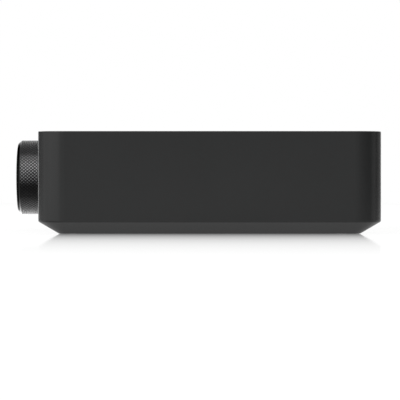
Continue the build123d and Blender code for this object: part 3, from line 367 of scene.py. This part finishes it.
black_steps, segment_count = range(5, 9), 224
points, faces = turned(ring_profile, segment_count, knob_x, knob_z)
rim = mesh_piece("knob_rim", points, faces, "knob_metal", "knob")
rim.data.materials.append(looks["knob_black"])
around = [1 if step in black_steps else 0 for step in range(len(ring_profile) - 1)]
rim.data.polygons.foreach_set("material_index", around * segment_count)
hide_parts("knob_ring")


def contact(x, path, width, thickness):
    """Points and faces of a flat wire whose middle follows a path of (y, z) points"""
    points, faces = [], []
    last = len(path) - 1
    for index, (y, z) in enumerate(path):
        before, after = path[max(index - 1, 0)], path[min(index + 1, last)]
        along_y, along_z = after[0] - before[0], after[1] - before[1]
        share = thickness / 2 / math.hypot(along_y, along_z)
        for side, level in ((-1, -1), (1, -1), (1, 1), (-1, 1)):
            points.append((x + side * width / 2, y - level * share * along_z, z + level * share * along_y))
    for ring in range(last):
        for corner in range(4):
            following = (corner + 1) % 4
            faces.append((
                4 * ring + corner, 4 * ring + following, 4 * ring + 4 + following, 4 * ring + 4 + corner,
            ))
    faces += [(3, 2, 1, 0), (4 * last, 4 * last + 1, 4 * last + 2, 4 * last + 3)]
    return points, faces


def pad(x, z, width, height, back_y, front_y, edge):
    """Points and faces of a small window whose front edges are cut"""
    points = []
    for y, inset in ((back_y, 0.0), (front_y - edge, 0.0), (front_y, edge)):
        for side, level in ((-1, -1), (1, -1), (1, 1), (-1, 1)):
            points.append((x + side * (width / 2 - inset), y, z + level * (height / 2 - inset)))
    faces = [(0, 1, 2, 3), (11, 10, 9, 8)]
    for ring in (0, 4):
        for corner in range(4):
            following = (corner + 1) % 4
            faces.append((ring + corner, ring + 4 + corner, ring + 4 + following, ring + following))
    return points, faces


def joined(shapes):
    """Points and faces of several shapes as those of one"""
    points, faces = [], []
    for more_points, more_faces in shapes:
        start = len(points)
        points += more_points
        faces += [tuple(start + index for index in face) for face in more_faces]
    return points, faces


# Network socket's contacts, sprung down from the roof at the mouth
network_count, network_pitch, network_width, network_thickness = 8, 0.00102, 0.0005, 0.00035
network_path = (
    (socket_face_y - 0.0012, network_roof_z - 0.0003),
    (socket_face_y - 0.0022, network_roof_z - 0.0004),
    (network_back_y + 0.005, network_roof_z - 0.0033),
    (network_back_y + 0.0025, network_roof_z - 0.0037),
    (network_back_y, network_roof_z - 0.0037),
)
points, faces = joined([
    contact(network_x + (index - (network_count - 1) / 2) * network_pitch, network_path,
            network_width, network_thickness)
    for index in range(network_count)
])
mesh_piece("network_contacts", points, faces, "plated_brass", "chassis")

# USB contacts, on the underside of the tongue, bent in at its tip
usb_offsets, usb_width, usb_thickness, usb_lift = (-0.0035, -0.001, 0.001, 0.0035), 0.001, 0.00012, 0.00004
usb_path = (
    (usb_tongue_y[0], usb_tongue_low_z - usb_lift),
    (usb_tongue_y[1] - 0.0014, usb_tongue_low_z - usb_lift),
    (usb_tongue_y[1] - 0.0006, usb_tongue_low_z + usb_lift),
)
points, faces = joined([
    contact(usb_x + offset, usb_path, usb_width, usb_thickness) for offset in usb_offsets
])
mesh_piece("usb_contacts", points, faces, "plated_brass", "chassis")

# HDMI contacts, nine below the tongue and ten above it
hdmi_counts, hdmi_pitch, hdmi_width, hdmi_thickness, hdmi_setback = (9, 10), 0.001, 0.00045, 0.0001, 0.0006
hdmi_shapes = []
for z, count in zip(hdmi_tongue_z, hdmi_counts):
    row_path = ((hdmi_tongue_y[0], z), (hdmi_tongue_y[1] - hdmi_setback, z))
    hdmi_shapes += [
        contact(hdmi_x + (index - (count - 1) / 2) * hdmi_pitch, row_path, hdmi_width, hdmi_thickness)
        for index in range(count)
    ]
points, faces = joined(hdmi_shapes)
mesh_piece("hdmi_contacts", points, faces, "plated_brass", "chassis")

# Network socket's two light windows
window_offset, window_rise = 0.0045, 0.0008
window_width, window_height, window_edge = 0.0028, 0.0009, 0.0001
window_back_y, window_front_y = socket_face_y - 0.0002, socket_face_y + 0.0001
points, faces = joined([
    pad(network_x + side * window_offset, network_roof_z + window_rise, window_width, window_height,
        window_back_y, window_front_y, window_edge)
    for side in (-1, 1)
])
mesh_piece("network_lights", points, faces, "light_plastic", "chassis")


# Floor, lights and camera

def math_node(tree, operation, first, second=0.0):
    """Math node with each input a socket or a number"""
    node = tree.nodes.new("ShaderNodeMath")
    node.operation = operation
    for entry, value in zip(node.inputs, (first, second)):
        if isinstance(value, (int, float)):
            entry.default_value = value
        else:
            tree.links.new(value, entry)
    return node.outputs["Value"]


def levels(tree, value, low, high, stops):
    """Level of a value that runs from low to high, by rising (value, level) stops"""
    share = tree.nodes.new("ShaderNodeMapRange")
    share.inputs["From Min"].default_value = low
    share.inputs["From Max"].default_value = high
    tree.links.new(value, share.inputs["Value"])
    steps = tree.nodes.new("ShaderNodeValToRGB")
    while len(steps.color_ramp.elements) < len(stops):
        steps.color_ramp.elements.new(0.5)
    for element, (position, level) in zip(steps.color_ramp.elements, stops):
        element.position = (position - low) / (high - low)
        element.color = (level, level, level, 1.0)
    tree.links.new(share.outputs["Result"], steps.inputs["Fac"])
    return steps.outputs["Color"]


def floor():
    """White light table with a gloss that fades away from the amplifier

    It casts more light than it shows to the camera, and casts less from a patch along the side wall.
    """
    long, wide = floor_half
    mesh = bpy.data.meshes.new("floor")
    corners = [(-long, -wide, floor_rise), (long, -wide, floor_rise), (long, wide, floor_rise),
               (-long, wide, floor_rise)]
    mesh.from_pydata(corners, [], [(0, 1, 2, 3)])
    made, tree, shader = material("floor_white")
    whites = ramp(tree, noise(tree, 3.0), *floor_greys)
    tree.links.new(whites, shader.inputs["Base Color"])
    shader.inputs["Roughness"].default_value = 0.9
    shader.inputs["Specular IOR Level"].default_value = 0.0
    shader.inputs["Emission Color"].default_value = (1.0, 1.0, 1.0, 1.0)
    place = tree.nodes.new("ShaderNodeTexCoord")
    axes = tree.nodes.new("ShaderNodeSeparateXYZ")
    tree.links.new(place.outputs["Object"], axes.inputs["Vector"])
    dip = math_node(
        tree, "MULTIPLY", levels(tree, axes.outputs["X"], -dip_reach, dip_reach, dip_across),
        levels(tree, axes.outputs["Y"], -dip_reach, dip_reach, dip_along),
    )
    glow = math_node(tree, "ADD", math_node(tree, "MULTIPLY", dip, dip_depth), cast_glow)
    path = tree.nodes.new("ShaderNodeLightPath")
    seen = tree.nodes.new("ShaderNodeMix")
    tree.links.new(path.outputs["Is Camera Ray"], seen.inputs["Factor"])
    tree.links.new(glow, seen.inputs["A"])
    seen.inputs["B"].default_value = seen_glow
    tree.links.new(seen.outputs["Result"], shader.inputs["Emission Strength"])

    beyond = []
    for axis in ("X", "Y"):
        out = math_node(tree, "SUBTRACT", math_node(tree, "ABSOLUTE", axes.outputs[axis]), foot_half)
        beyond.append(math_node(tree, "MAXIMUM", out, 0.0))
    squares = [math_node(tree, "MULTIPLY", out, out) for out in beyond]
    distance = math_node(tree, "SQRT", math_node(tree, "ADD", *squares))
    fade = math_node(tree, "EXPONENT", math_node(tree, "MULTIPLY", distance, -1.0 / gloss_reach))
    grazing = tree.nodes.new("ShaderNodeFresnel")
    grazing.inputs["IOR"].default_value = floor_ior
    gloss = tree.nodes.new("ShaderNodeBsdfGlossy")
    gloss.inputs["Roughness"].default_value = floor_roughness
    both = tree.nodes.new("ShaderNodeMixShader")
    tree.links.new(math_node(tree, "MULTIPLY", grazing.outputs["Fac"], fade), both.inputs["Fac"])
    tree.links.new(shader.outputs["BSDF"], both.inputs[1])
    tree.links.new(gloss.outputs["BSDF"], both.inputs[2])
    tree.links.new(both.outputs["Shader"], tree.nodes["Material Output"].inputs["Surface"])
    mesh.materials.append(made)
    piece = bpy.data.objects.new("floor", mesh)
    bpy.context.scene.collection.objects.link(piece)


def area_light(name, place, target, size, power, only):
    """Soft box that faces its target and isn't seen itself; with only, it lights those pieces alone"""
    lamp = bpy.data.lights.new(name, "AREA")
    lamp.shape = "RECTANGLE"
    lamp.size, lamp.size_y = size
    lamp.energy = power
    thing = bpy.data.objects.new(name, lamp)
    thing.location = place
    thing.rotation_euler = (Vector(target) - Vector(place)).to_track_quat("-Z", "Y").to_euler()
    thing.visible_camera = False
    bpy.context.scene.collection.objects.link(thing)
    if only:
        lit = bpy.data.collections.new(name + "_reach")
        for piece in only:
            lit.objects.link(piece)
        thing.light_linking.receiver_collection = lit


def studio_world():
    """Room that the part reflects, white where the camera sees it

    Behind the amplifier is a white screen between dark cards, and in front of it a room that is paler
    towards the knob. A low pale line at both ends keeps the floor white when seen along Y.
    """
    world = bpy.data.worlds.new("studio")
    world.use_nodes = True
    tree = world.node_tree
    place = tree.nodes.new("ShaderNodeTexCoord")
    axes = tree.nodes.new("ShaderNodeSeparateXYZ")
    tree.links.new(place.outputs["Generated"], axes.inputs["Vector"])
    behind = levels(tree, axes.outputs["Y"], -1.0, 1.0, screen_levels)
    before = levels(tree, axes.outputs["Y"], -1.0, 1.0, room_levels)
    side = levels(tree, axes.outputs["X"], -1.0, 1.0, side_levels)
    level = tree.nodes.new("ShaderNodeMix")
    level.data_type = "RGBA"
    tree.links.new(side, level.inputs["Factor"])
    tree.links.new(behind, level.inputs["A"])
    tree.links.new(before, level.inputs["B"])
    horizon = tree.nodes.new("ShaderNodeMix")
    horizon.data_type = "RGBA"
    low = levels(tree, axes.outputs["Z"], -1.0, 1.0, horizon_heights)
    ends = levels(tree, axes.outputs["Y"], -1.0, 1.0, horizon_ends)
    tree.links.new(math_node(tree, "MULTIPLY", low, ends), horizon.inputs["Factor"])
    tree.links.new(level.outputs["Result"], horizon.inputs["A"])
    horizon.inputs["B"].default_value = (horizon_level, horizon_level, horizon_level, 1.0)
    surround = tree.nodes["Background"]
    surround.inputs["Strength"].default_value = world_strength
    tree.links.new(horizon.outputs["Result"], surround.inputs["Color"])
    backdrop = tree.nodes.new("ShaderNodeBackground")
    backdrop.inputs["Color"].default_value = (1.0, 1.0, 1.0, 1.0)
    path = tree.nodes.new("ShaderNodeLightPath")
    both = tree.nodes.new("ShaderNodeMixShader")
    tree.links.new(path.outputs["Is Camera Ray"], both.inputs["Fac"])
    tree.links.new(surround.outputs["Background"], both.inputs[1])
    tree.links.new(backdrop.outputs["Background"], both.inputs[2])
    tree.links.new(both.outputs["Shader"], tree.nodes["World Output"].inputs["Surface"])
    bpy.context.scene.world = world


# Floor: greys, glow as the camera sees it and as it lights the part, the patch that glows less as
# (metres, level) stops in X and in Y, size and height, and gloss
floor_greys = (0.14, 0.14, 0.14), (0.15, 0.15, 0.15)
seen_glow, cast_glow = 0.81, 0.95
dip_depth, dip_reach = -0.3, 0.3
dip_across = ((0.03, 0.0), (0.07, 1.0), (0.1, 1.0), (0.115, 0.0))
dip_along = ((-0.12, 0.0), (-0.1, 1.5), (-0.085, 0.9), (0.085, 0.9), (0.1, 1.5), (0.12, 0.0))
floor_half, floor_rise = (1.45, 0.34), 0.0003
foot_half, gloss_reach, floor_roughness, floor_ior = 0.088, 0.135, 0.05, 1.5

# World: levels by one component of the direction looked in
world_strength, horizon_level = 1.65, 0.76
screen_levels = ((-1.0, 0.6), (-0.95, 0.36), (-0.86, 0.18), (-0.65, 0.08), (-0.43, 0.05), (-0.38, 0.76),
                 (0.38, 0.76), (0.43, 0.2), (0.85, 0.2), (1.0, 0.06))
room_levels = ((-1.0, 0.66), (-0.94, 0.95), (-0.47, 1.0), (-0.34, 0.5), (0.0, 0.4), (0.5, 0.2), (1.0, 0.08))
side_levels = ((-0.1, 0.0), (0.1, 1.0))
horizon_heights = ((-0.04, 0.0), (-0.02, 1.0), (0.025, 1.0), (0.045, 0.0))
horizon_ends = ((-0.985, 1.0), (-0.97, 0.0), (0.97, 0.0), (0.985, 1.0))

# Lights: name, place, what it faces, size, watts, and the pieces that it lights if not all
knob_pieces = (grip, rim)
lights = (
    ("top_light", (-0.2, 0.0, 1.8), (0, 0, 0), (2.0, 2.0), 20.0, None),
    ("near_light", (1.0, -0.6, 1.4), (0, 0, 0.03), (2.0, 0.8), 17.0, None),
    ("rear_light", (-0.3, 1.2, 1.4), (0, 0.08, 0.03), (1.2, 0.8), 6.0, None),
    ("knob_light", (1.15, -0.19, 0.82), (0, -0.11, 0.03), (0.5, 2.1), 88.0, knob_pieces),
    ("knob_spot", (1.15, -0.19, 0.78), (0, -0.11, 0.03), (0.5, 0.6), 23.0, knob_pieces),
    ("knob_low_light", (0.12, -0.122, 0.018), (0, -0.11, 0.0331), (0.05, 0.02), 0.045, knob_pieces),
    ("knob_under_light", (-0.03, -0.12, 0.0006), (-0.03, -0.12, 1), (0.11, 0.04), 0.0385, knob_pieces),
    ("knob_under_spot", (0.004, -0.12, 0.0007), (0.004, -0.12, 1), (0.03, 0.04), 0.0115, knob_pieces),
    ("knob_back_light", (-1.0, -0.11, 0.8), (0, -0.11, 0.03), (0.8, 0.8), 3.0, knob_pieces),
)

# Camera: place, degrees below the horizontal, and lens on a sensor 36 mm wide
camera_place, camera_fall, camera_lens = (1.516, -0.0056, 0.0354), 0.615, 220.9

floor()
studio_world()
bpy.context.scene.view_settings.view_transform = "Standard"
for entry in lights:
    area_light(*entry)

camera_data = bpy.data.cameras.new("camera")
camera_data.sensor_width = 36.0
camera_data.lens = camera_lens
camera_data.clip_start = 0.05
camera = bpy.data.objects.new("camera", camera_data)
camera.location = camera_place
camera.rotation_euler = (math.radians(90.0 - camera_fall), 0.0, math.radians(90.0))
bpy.context.scene.collection.objects.link(camera)
bpy.context.scene.camera = camera
